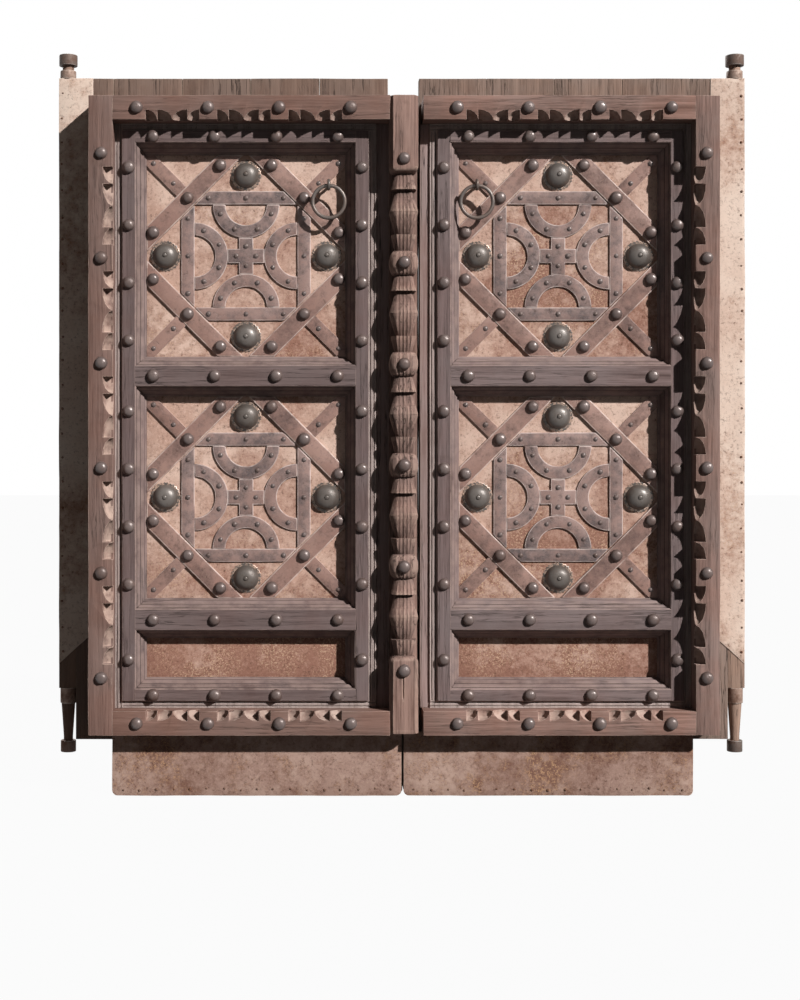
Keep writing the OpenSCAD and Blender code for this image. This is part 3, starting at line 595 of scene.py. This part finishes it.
# Every other rim bead is painted towards the pale bare colour as a painted highlight.
rim_bead_highlight = boss_head.data.attributes.new("wear_and_light", "FLOAT", "FACE")
for face in boss_head.data.polygons:
    reach = math.hypot(face.center.x, face.center.z)
    bead = int(boss_teeth * math.atan2(face.center.z, face.center.x) / math.pi + 56.5)
    rim_bead_highlight.data[face.index].value = float(reach > 0.84 and bead % 2)
for vert in boss_head.data.vertices:
    if math.hypot(vert.co.x, vert.co.z) > 0.9:
        tooth = 1 + 0.04 * math.cos(boss_teeth * math.atan2(vert.co.z, vert.co.x))
        vert.co.x *= tooth
        vert.co.z *= tooth
boss_radius, boss_rise, boss_reach, boss_foot = 0.0395, 0.0255, 0.212, 0.002
boss_offsets = ((boss_reach, 0), (-boss_reach, 0), (0, boss_reach), (0, -boss_reach))
boss_spots = [(panel_mid_x + a, mid + b) for mid in panel_mids for a, b in boss_offsets]
for side, sign in sides.items():
    spots = [at_height(sign * x, z, boss_foot) for x, z in boss_spots]
    set_heads(side + "_boss_heads", side, spots, boss_head, boss_radius, boss_rise,
              boss_bronze, 0.015, 31 + sign, side + "_bosses")
bpy.data.objects.remove(boss_head)

# Sheet nails
# Small rose-headed tacks along the skirts' lower edge and the outer edge of the plain strip.
# They are hand-made and rusted, so their spacing and size wander.

nail_iron = iron_finish("tack iron", (0.13, 0.08, 0.06), (0.16, 0.075, 0.045), (0.2, 0.14, 0.11),
                        (0.3, 0.22, 0.18), 0.5, 0.4, 0.5, metal=0.2, fleck=(0.2, 0.12, 0.08))
nail_head = turned_head("nail head", [(1, 0), (0.92, 0.5), (0.5, 0.95), (0, 1)], 8, 0.12)
nail_radius, nail_rise = 0.0034, 0.0022
skirt_nail_z, skirt_face, edge_nail_x, edge_face = 0.016, 0.0338, 0.8935, 0.0018
for side, sign in sides.items():
    tacks = []
    for k in range(17):
        x = 0.03 + k * 0.0437
        drift = noise.noise_vector(Vector((x * 31, sign * 3.0, 0.4)))
        tacks.append(at_height(sign * (x + drift.x * 0.008), skirt_nail_z + drift.z * 0.006,
                               skirt_face))
    for k in range(24):
        z = 0.375 + k * 0.0635
        drift = noise.noise_vector(Vector((z * 27, sign * 5.0, 2.4)))
        tacks.append(at_height(sign * (edge_nail_x + drift.x * 0.003), z + drift.z * 0.012,
                               edge_face))
    set_heads(side + "_sheet_nails", side, tacks, nail_head, nail_radius,
              nail_rise, nail_iron, 0.2, 41 + sign)
bpy.data.objects.remove(nail_head)

# Ledge nails
# Forged nails through the ledges, two to a board, their points turned over on the back and
# beaten flat. Rusted wrought iron, standing a little above the wood.

clench_head = turned_head("clench head", [(1, 0), (0.95, 0.6), (0.6, 0.95), (0, 1)], 10, 0.1)
for vert in clench_head.data.vertices:
    vert.co.y = -vert.co.y
clench_head.data.flip_normals()
clench_radius, clench_rise, clench_sunk = 0.011, 0.0045, 0.0006
ledge_feet = (0.188, 0.406, 1.04, 1.682)
for side, sign in sides.items():
    back_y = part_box(side + "_ledges")[1].y - clench_sunk
    spots = [(sign * (0.115 + 0.17 * k), back_y, z + dz)
             for k in range(5) for z in ledge_feet for dz in (0.03, 0.08)]
    set_heads(side + "_ledge_nails", side, spots, clench_head, clench_radius,
              clench_rise, nail_iron, 0.15, 51 + sign)
bpy.data.objects.remove(clench_head)

# Staples and ring pulls
# An eye bolt through each upper panel carries a forged ring, the door's only pull.
# Both are round wrought bar, dark and rubbed smooth. They wobble hardly at all, so that the ring
# swings free in its eye.

ring_iron = iron_finish("handled iron", (0.09, 0.075, 0.068), (0.12, 0.07, 0.052),
                        (0.16, 0.135, 0.12), (0.35, 0.31, 0.28), 0.25, 0.4, 0.4, metal=0.3,
                        depth=0.0006, polish=0.65, gloss=0.5, fleck=(0.16, 0.11, 0.09))
for side in sides:
    for part, body in (("_staple", "_leaf"), ("_ring", "_pull")):
        dress(worn_copy(side + part, 0.0006, wobble=0.0001), side + body, ring_iron,
              side + part)

# Carved meeting post
# The left leaf's closing stile, cut from one thick baulk: plain blocks at the ends, beads under
# the studs, and paired bells between them, chamfered at the sides and fluted down the front.
# Pale open-grained wood, darkened in the necks with painted shade, with one crack in the lower
# block.

post_half, post_front, carve_back, plank_t = 0.0365, 0.1, 0.048, 0.032
post_z, post_top, block_len, bead_len = 0.172, 1.814, 0.2, 0.062
block_chamfer, bell_chamfer, end_chamfer = 0.008, 0.012, 0.01
block_round, eased, saw_cut, nick = 0.016, 0.002, 0.0004, 0.0005
group_len = (post_top - post_z - 2 * block_len - 4 * bead_len) / 5
half_len = group_len / 2


def carve_bell(z, share, narrow, wide, upward):
    rows = []
    for k in range(9):
        along = k / 8
        rise = along if upward else 1 - along
        half = post_half * (narrow + (wide - narrow) * rise ** 0.8)
        chamfer = 0.35 * narrow * post_half * (1 - rise) + bell_chamfer * rise
        rows.append((z + saw_cut + (share * half_len - 2 * saw_cut) * along, half, chamfer))
    return rows


def round_block(end_z, toward):
    rows = []
    for k in range(7):
        turn = math.pi / 2 * k / 6
        rows.append((end_z - toward * block_round * (1 - math.sin(turn)),
                     post_half - block_round * (1 - math.cos(turn)), block_chamfer))
    return rows


post_rows = [(post_z, post_half - eased, end_chamfer), (post_z + eased, post_half, block_chamfer)]
post_rows += [(post_z + 0.01 + 0.008 * k, post_half, block_chamfer) for k in range(21)]
post_rows += round_block(post_z + block_len - nick, 1)
for k in range(5):
    start = post_z + block_len + k * (group_len + bead_len)
    post_rows += carve_bell(start, 0.42, 0.58, 0.88, True)
    post_rows += carve_bell(start + 0.42 * half_len, 0.58, 0.52, 1, True)
    post_rows.append((start + half_len, post_half - 0.0022, bell_chamfer))
    post_rows += carve_bell(start + half_len, 0.58, 0.52, 1, False)
    post_rows += carve_bell(start + 1.58 * half_len, 0.42, 0.58, 0.88, False)
    if k < 4:
        bead_mid = start + group_len + bead_len / 2
        for angle in range(-72, 73, 12):
            swell = math.sin(math.radians(angle)) / math.sin(math.radians(72))
            post_rows.append((bead_mid + (bead_len / 2 - nick) * swell,
                              post_half * (0.62 + 0.38 * math.cos(math.radians(angle))),
                              bell_chamfer))
post_rows += round_block(post_top - block_len + nick, -1)[::-1]
post_rows += [(post_top - eased, post_half, block_chamfer),
              (post_top, post_half - eased, end_chamfer)]

flute_pitch, flute_depth, grain_depth = 0.0095, 0.0018, 0.0004
crack_low, crack_high, crack_depth = 0.262, 0.325, 0.004
post_shape = bmesh.new()
post_wear_and_shade = post_shape.faces.layers.float.new("wear_and_light")
sections = []
for z, half, chamfer in post_rows:
    fullness = min(1, 0.25 + 0.75 * half / (0.97 * post_half))
    front = carve_back + (post_front - carve_back) * fullness
    flank = [(half, carve_back - 0.004), (half, (carve_back + front - chamfer) / 2),
             (half, front - chamfer), (half - 0.5 * chamfer, front - 0.45 * chamfer)]
    outline = [(-x, height) for x, height in flank]
    flat = half - chamfer
    carved = post_z + block_len < z < post_top - block_len
    for k in range(25):
        x = -flat + 2 * flat * k / 24
        cut = (flute_depth if carved else grain_depth) * abs(math.sin(math.pi * x / flute_pitch))
        if k == 11 and crack_low < z < crack_high:
            cut = crack_depth
        outline.append((x, front - cut))
    outline += flank[::-1]
    sections.append([post_shape.verts.new(at_height(x, z, height)) for x, height in outline])
count = len(sections[0])
# Faces in the narrow necks get a negative value: painted shade, darker the narrower the neck.
for row, (lower, upper) in enumerate(zip(sections, sections[1:])):
    narrow = min(post_rows[row][1], post_rows[row + 1][1]) / post_half
    for k in range(count):
        after = (k + 1) % count
        face = post_shape.faces.new((lower[k], lower[after], upper[after], upper[k]))
        face[post_wear_and_shade] = max(-0.45, min(0, 2.5 * (narrow - 0.8)))
post_shape.faces.new(sections[0])
post_shape.faces.new(sections[-1][::-1])
bmesh.ops.recalc_face_normals(post_shape, faces=post_shape.faces)
for edge in post_shape.edges:
    if is_arris(edge, 18):
        for face in edge.link_faces:
            if face.calc_area() < 0.0002 and face[post_wear_and_shade] == 0:
                face[post_wear_and_shade] = 0.4


def add_block(shape, low, high):
    middle = [(a + b) / 2 for a, b in zip(low, high)]
    size = [b - a for a, b in zip(low, high)]
    place = Matrix.Translation(middle) @ Matrix.Diagonal((*size, 1))
    return bmesh.ops.create_cube(shape, size=1, matrix=place)["verts"]


baulk = add_block(post_shape, at_height(-post_half, post_z, carve_back),
                  at_height(post_half, post_top, -plank_t))
baulk_edges = [e for e in post_shape.edges if e.verts[0] in baulk]
bmesh.ops.bevel(post_shape, geom=baulk_edges, offset=eased, segments=2, affect="EDGES")
for vert in post_shape.verts:
    vert.co += noise.noise_vector(vert.co * 9) * 0.0009
post_wood = timber_finish("carved post", "Z", (0.355, 0.228, 0.19), (0.125, 0.072, 0.058),
                          (0.28, 0.205, 0.185), (0.5, 0.37, 0.3), 0.45, 1.0)
dress(make_object("meeting_post.carved", post_shape, 30), "left_leaf", post_wood,
      "meeting_post")

# Closing lip
# A thin tongue let into the back of the closing edge, behind the gap between the leaves and
# between the skirts. It is a planed lath, nailed to the left leaf, and it hides the light.

lip_front, lip_back = 0.0439, 0.0581
lip_shape = bmesh.new()
add_block(lip_shape, (0.03, lip_front, post_z), (0.0441, lip_back, post_top))
add_block(lip_shape, (-0.02, lip_front, 0.001), (0.0022, lip_back, 0.1715))
bmesh.ops.bevel(lip_shape, geom=lip_shape.edges[:], offset=0.001, segments=2, affect="EDGES")
dress(make_object("closing_lip", lip_shape), "left_leaf", board_wood)

# Floor, light and camera
# A plain pale floor and an even white ground, a key sun from the upper right, a softer one from
# behind for the back, and a weak fill all round. The camera stands level, four metres in front
# of the framing, with its view shifted as the picture is.


def seen_directly(tree):
    rays = add_node(tree, "ShaderNodeLightPath").outputs
    shown = sums(tree, "MAXIMUM", rays["Is Camera Ray"], rays["Is Glossy Ray"])
    return sums(tree, "MAXIMUM", shown, rays["Is Transmission Ray"])


floor_reach, floor_z = 30, -0.001
floor_mesh = bpy.data.meshes.new("floor")
floor_mesh.from_pydata([(x * floor_reach, y * floor_reach, floor_z)
                        for x, y in ((-1, -1), (1, -1), (1, 1), (-1, 1))], [], [(0, 1, 2, 3)])
floor = bpy.data.objects.new("floor", floor_mesh)
bpy.context.scene.collection.objects.link(floor)
floor_pale = bpy.data.materials.new("pale floor")
floor_pale.use_nodes = True
floor_tree = floor_pale.node_tree
floor_tree.nodes.clear()
lit = add_node(floor_tree, "ShaderNodeBsdfDiffuse", {"Color": (0.08, 0.08, 0.08, 1)})
bright = add_node(floor_tree, "ShaderNodeEmission", {"Color": (1, 1, 1, 1), "Strength": 1.0})
floor_mix = add_node(floor_tree, "ShaderNodeMixShader", {
    0: times(floor_tree, seen_directly(floor_tree), 0.96), 1: lit.outputs[0],
    2: bright.outputs[0]})
add_node(floor_tree, "ShaderNodeOutputMaterial", {"Surface": floor_mix.outputs[0]})
floor_mesh.materials.append(floor_pale)

world = bpy.data.worlds.new("white ground")
bpy.context.scene.world = world
world.use_nodes = True
sky = world.node_tree
feed(sky, sky.nodes["Background"], {
    "Color": (1, 1, 1, 1), "Strength": spread(sky, seen_directly(sky), 0, 1, 0.016, 1.0)})

for name, energy, softness, colour, heading in (
        ("key", 5.85, 1.6, (1.0, 0.98, 0.955), (-1.04, 1.0, -0.9)),
        ("rear", 3.4, 20, (1.0, 1.0, 1.0), (0.45, -1.0, -0.7))):
    sun = bpy.data.lights.new(name, "SUN")
    sun.energy = energy
    sun.angle = math.radians(softness)
    sun.color = colour
    lamp = bpy.data.objects.new(name, sun)
    lamp.rotation_mode = "QUATERNION"
    lamp.rotation_quaternion = Vector(heading).to_track_quat("-Z", "Y")
    bpy.context.scene.collection.objects.link(lamp)

eye = bpy.data.cameras.new("eye")
eye.lens = 55.4
eye.sensor_width = 36
eye.shift_x = 0.095
eye.shift_y = -0.045
eye_object = bpy.data.objects.new("eye", eye)
eye_object.location = (-0.255, -4.0235, 0.889)
eye_object.rotation_euler = (math.radians(90), 0, 0)
bpy.context.scene.collection.objects.link(eye_object)
bpy.context.scene.camera = eye_object
bpy.context.scene.view_settings.view_transform = "Standard"
